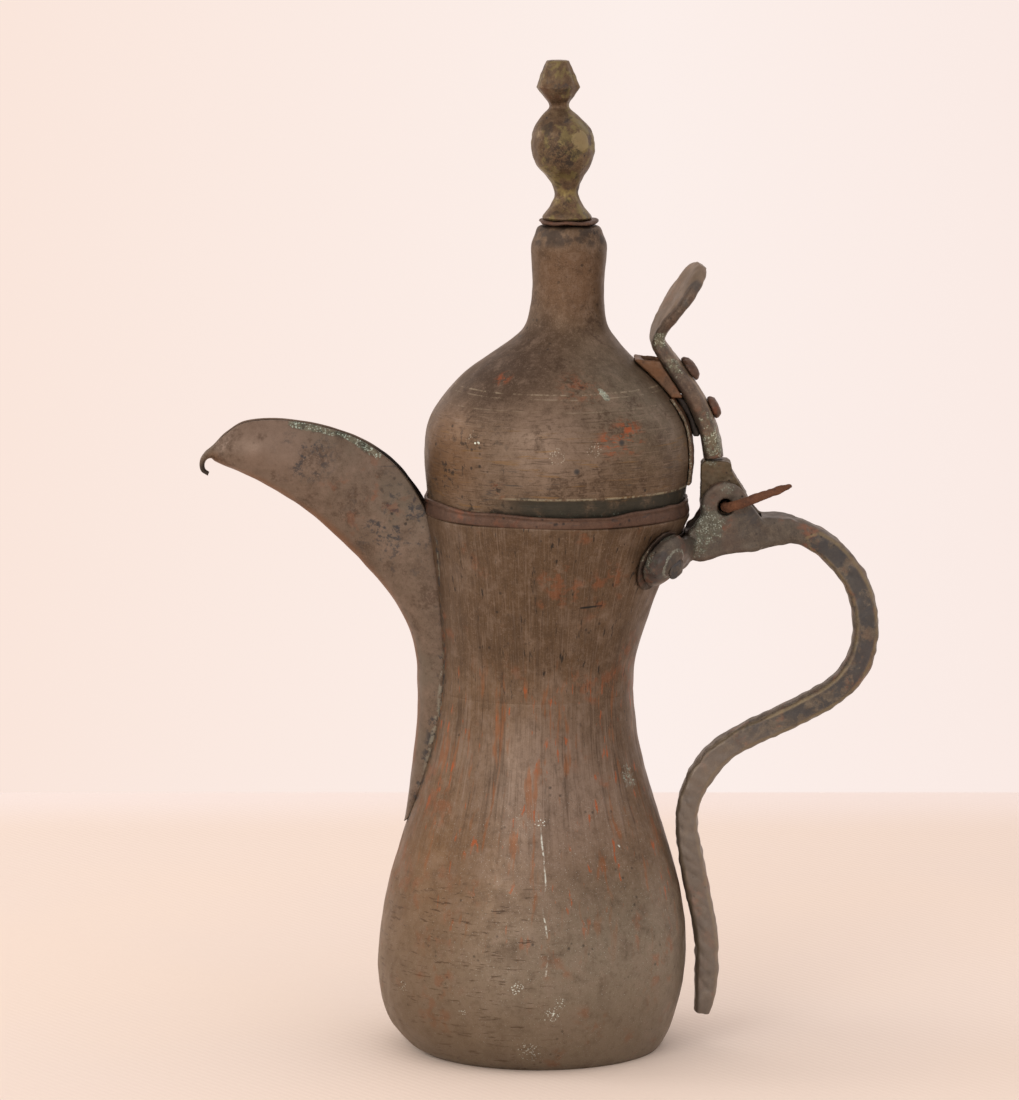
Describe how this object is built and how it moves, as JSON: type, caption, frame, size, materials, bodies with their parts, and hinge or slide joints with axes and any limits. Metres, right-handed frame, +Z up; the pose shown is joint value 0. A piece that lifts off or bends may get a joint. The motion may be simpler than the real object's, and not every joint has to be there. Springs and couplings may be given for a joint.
{
  "type": "dallah coffee pot",
  "caption": "Waisted copper coffee pot with an open crescent spout, S-shaped cast handle and a hinged domed lid with a brass finial and thumb lever.",
  "frame": {"origin": "centre of the flat underside of the base", "axes": "+Z up through the finial, +X towards the handle, -X along the spout; the lid hinge runs along Y"},
  "size_m": [0.2047, 0.0932, 0.3],
  "materials": {
    "patinated_copper": "dark brown patina over hammered copper sheet",
    "red_copper": "redder worn copper strip and rivets",
    "cast_brass": "dark cast brass with traces of verdigris",
    "finial_brass": "tarnished turned brass",
    "rusty_iron": "rusted iron",
    "dark_packing": "blackened iron"
  },
  "bodies": {
    "root": {"body_upper": "patinated_copper", "body_lower": "patinated_copper", "base_plate": "patinated_copper", "spout": "patinated_copper", "handle": "cast_brass", "handle_pad": "red_copper", "handle_rivet_near": "cast_brass", "handle_rivet_far": "cast_brass", "hinge_nail": "rusty_iron"},
    "lid": {"lid_dome": "patinated_copper", "lid_flange": "red_copper", "lid_sleeve": "patinated_copper", "neck_collar": "patinated_copper", "finial": "finial_brass", "finial_burr": "red_copper", "thumb_lever": "cast_brass", "hinge_knuckle": "finial_brass", "strap_rivet_upper": "red_copper", "strap_rivet_lower": "red_copper", "lid_bracket": "red_copper", "lid_patch": "red_copper", "strap_spacer": "dark_packing"}
  },
  "joints": [
    {"name": "lid_hinge", "type": "hinge", "parent": "root", "child": "lid", "pos_m": [0.056, 0, 0.1665], "axis": [0, 1, 0], "range_deg": [0, 95]}
  ]
}
